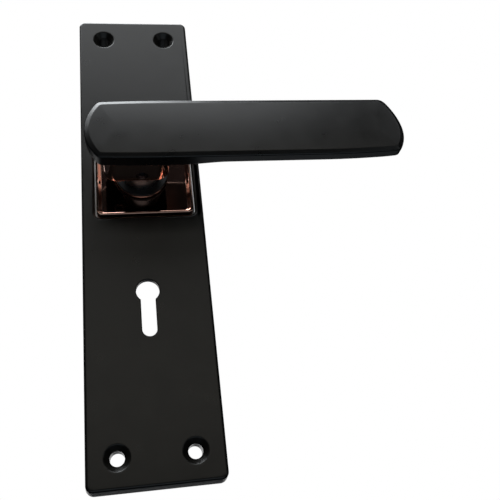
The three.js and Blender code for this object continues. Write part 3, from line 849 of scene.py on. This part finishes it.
def driver_cam():
    arm_turn = math.acos(CAM_ARM / CAM_DISC)
    lobe_turn = math.acos(CAM_LOBE / CAM_DISC)
    outline = [
        *arc(0, 0, CAM_DISC, -lobe_turn, arm_turn, 60),
        (CAM_ARM, CAM_ARM_END, 0.6),
        (-CAM_ARM, CAM_ARM_END, 0.6),
        *arc(0, 0, CAM_DISC, math.pi - arm_turn, math.pi + lobe_turn, 60),
        (-CAM_LOBE, -CAM_LOBE_END, 0.6),
        (CAM_LOBE, -CAM_LOBE_END, 0.6),
    ]
    bore, flat = SPIGOT_REAR + 0.05, SPIGOT_FLAT + 0.05
    turn = math.acos(flat / bore)
    hole = [
        *arc(0, 0, bore, turn, math.pi - turn, 36),
        *arc(0, 0, bore, math.pi + turn, 2 * math.pi - turn, 36),
    ]
    skin = Skin()
    outer_path = [(-0.25, CAM_FRONT), (0, CAM_FRONT, 0.15), (0, CAM_BACK, 0.15), (-0.25, CAM_BACK)]
    hole_path = [(0, CAM_FRONT), (0, CAM_BACK)]
    outer = skin.wrap(grown(rounded(outline, closed=True)), outer_path, 4)
    inner = skin.wrap(grown(hole), hole_path)
    skin.flat(outer[0], inner[0])
    skin.flat(outer[1], inner[1])
    tab = block("tab", (-1, -3.2, 11.4), (1, CAM_BACK - 0.2, 12.6), 0.25)
    made = carved(skin.make("driver_cam"), [tab], "UNION")
    install(made, "driver_cam", "lever", ZINC)


def spacer_ring():
    low, high = box_mm("spacer_ring")
    inner, outer = SPIGOT_REAR + 0.1, high.x
    path = [(inner, low.y, 0.1), (outer, low.y, 0.15), (outer, high.y, 0.15), (inner, high.y, 0.1)]
    made = turned("spacer_ring", path, closed=True)
    install(made, "spacer_ring", "lever", NYLON)


def retaining_ring():
    low, high = box_mm("retaining_ring")
    inner = GROOVE_RADIUS + 0.03
    outer, ear_x, ear_z = inner + 1.3, 3.4, -inner - 1.2
    front, back, edge = low.y, high.y, 0.1

    def ring_path(inside, outside):
        return [(inside, front, edge), (outside, front, edge), (outside, back, edge), (inside, back, edge)]

    made = turned("retaining_ring", ring_path(inner, outer), closed=True)
    ears = [turned("ear", ring_path(0.6, 1.5), side * ear_x, ear_z, 40, closed=True) for side in (-1, 1)]
    made = carved(made, ears, "UNION")
    gap = block("gap", (-2.1, front - 1, -12), (2.1, back + 1, -1))
    clear = turned("clear", [(inner, front - 1), (inner, back + 1)])
    eyes = [turned("eye", [(0.6, front - 1), (0.6, back + 1)], side * ear_x, ear_z, 40) for side in (-1, 1)]
    install(carved(made, [gap, clear, *eyes]), "retaining_ring", "lever", WIRE)


def grip_screws():
    for place, x, z in grip_screw_spots():
        node = f"grip_screw_{place}"
        low, high = box_mm(node)
        seat = NECK_HIGH.y - GRIP_SCREW_SINK + 0.02
        path = [
            (0.5, low.y),
            (1.2, low.y, 0.3),
            (1.2, seat, 0.05),
            (GRIP_SCREW_HEAD, seat, 0.05),
            (GRIP_SCREW_HEAD, high.y, 0.3),
            (1.3, high.y),
        ]
        made = turned(node, path, x, z, 56)
        key = turned("key", [(1.1, high.y - 1.1), (1.1, high.y + 1)], x, z, 6)
        install(carved(made, [key]), node, "lever", BLACKENED)


# ---- Surroundings ----
CENTRE = Vector((20, -20, -15)) * MM
CAMERA_PLACE = Vector((-4.85, -211.5, -128.03)) * MM
CAMERA_RIGHT = Vector((0.98327, -0.14, -0.11654)).normalized()
CAMERA_AHEAD = Vector((0.17645, 0.8909, 0.41853)).normalized()
CAMERA_LENS, CAMERA_SENSOR = 47.79, 36
FLOOR_LEVEL, FLOOR_RADIUS, FLOOR_DEPTH = -300, 4000, 10


def camera():
    data = bpy.data.cameras.new("camera")
    data.lens = CAMERA_LENS
    data.sensor_width = CAMERA_SENSOR
    data.clip_start = 0.01
    data.clip_end = 50
    made = bpy.data.objects.new("camera", data)
    turn = Matrix((CAMERA_RIGHT, CAMERA_RIGHT.cross(CAMERA_AHEAD), -CAMERA_AHEAD)).transposed()
    made.matrix_world = Matrix.Translation(CAMERA_PLACE) @ turn.to_4x4()
    bpy.context.scene.collection.objects.link(made)
    bpy.context.scene.camera = made


def softbox(name, azimuth, elevation, distance, width, height, radiance, color=(1, 1, 1)):
    """A rectangular lamp that looks at the handle. Azimuth 0 is in front of it, and 90 to its right."""
    a, e = math.radians(azimuth), math.radians(elevation)
    away = Vector((math.sin(a) * math.cos(e), -math.cos(a) * math.cos(e), math.sin(e)))
    data = bpy.data.lights.new(name, "AREA")
    data.shape = "RECTANGLE"
    data.size, data.size_y = width, height
    data.energy = radiance * math.pi * width * height
    data.color = color
    made = bpy.data.objects.new(name, data)
    made.location = CENTRE + away * distance
    made.rotation_mode = "QUATERNION"
    made.rotation_quaternion = away.to_track_quat("Z", "Y")
    bpy.context.scene.collection.objects.link(made)


def lights():
    softbox("key", -24, 60, 1.0, 1.3, 0.66, 1.78, (0.95, 0.98, 1.0))
    softbox("top", -100, 78, 0.9, 0.8, 0.5, 6.0, (0.93, 0.97, 1.0))
    softbox("right", 50, 34, 1.2, 0.5, 0.4, 0.62, (0.97, 0.99, 1.0))
    softbox("front", 0, 13, 1.2, 1.07, 0.62, 0.5, (1.0, 0.97, 0.88))
    softbox("brow", 46, -12, 1.2, 0.7, 0.2, 0.6, (0.9, 0.97, 1.0))
    softbox("low", 0, -52, 1.2, 1.4, 0.7, 0.42, (0.76, 0.9, 1.0))
    softbox("back", 185, 3, 1.2, 1.2, 0.6, 1.0)
    softbox("under", 172, -38, 1.2, 1.2, 0.6, 0.14, (0.85, 0.93, 1.0))


def world():
    """White to the camera, and a dim room to everything else, a little dimmer above."""
    made = bpy.data.worlds.new("studio")
    made.use_nodes = True
    nodes, links = made.node_tree.nodes, made.node_tree.links
    room = nodes["Background"]
    coordinates = nodes.new("ShaderNodeTexCoord")
    parts = nodes.new("ShaderNodeSeparateXYZ")
    ramp = nodes.new("ShaderNodeValToRGB")
    below, above = ramp.color_ramp.elements
    below.position, below.color = 0.3, (0.016, 0.018, 0.02, 1)
    above.position, above.color = 0.62, (0.01, 0.01, 0.011, 1)
    half = nodes.new("ShaderNodeMapRange")
    half.inputs["From Min"].default_value = -1
    white = nodes.new("ShaderNodeBackground")
    path = nodes.new("ShaderNodeLightPath")
    mix = nodes.new("ShaderNodeMixShader")
    links.new(coordinates.outputs["Generated"], parts.inputs["Vector"])
    links.new(parts.outputs["Z"], half.inputs["Value"])
    links.new(half.outputs["Result"], ramp.inputs["Fac"])
    links.new(ramp.outputs["Color"], room.inputs["Color"])
    white.inputs["Color"].default_value = (1, 1, 1, 1)
    links.new(path.outputs["Is Camera Ray"], mix.inputs["Fac"])
    links.new(room.outputs["Background"], mix.inputs[1])
    links.new(white.outputs["Background"], mix.inputs[2])
    links.new(mix.outputs["Shader"], nodes["World Output"].inputs["Surface"])
    bpy.context.scene.world = made


def floor():
    """A pale floor under the handle, lit evenly as far as it goes. It takes shadows, and neither lights
    the handle nor shows in the polished pieces."""
    skin = Skin()
    for ring in skin.wrap(circles(sides=64), [(FLOOR_RADIUS, -FLOOR_DEPTH), (FLOOR_RADIUS, 0)]):
        skin.flat(ring)
    made = skin.make("floor")
    level = Matrix.Translation((0, 0, FLOOR_LEVEL * MM))
    made.data.transform(level @ Matrix.Rotation(-QUARTER, 4, "X"))
    surface = Surface("floor_paint", (0.3, 0.3, 0.3), 0.0, 0.7)
    surface.vary_roughness(surface.noise(60, 3), 0.62, 0.75)
    surface.shader.inputs["Emission Color"].default_value = (1, 1, 1, 1)
    surface.shader.inputs["Emission Strength"].default_value = 0.72
    made.data.materials.append(surface.material)
    made.visible_glossy = False
    made.visible_diffuse = False


camera()
world()
lights()
floor()
backplate()
rose_cup()
neck_bush()
carrier_plate()
carrier_pins()
carrier_screws()
return_spring()
lever_grip()
lever_neck()
lever_spigot()
spindle()
spindle_set_screw()
driver_cam()
spacer_ring()
retaining_ring()
grip_screws()
bpy.context.scene.view_settings.view_transform = "Standard"
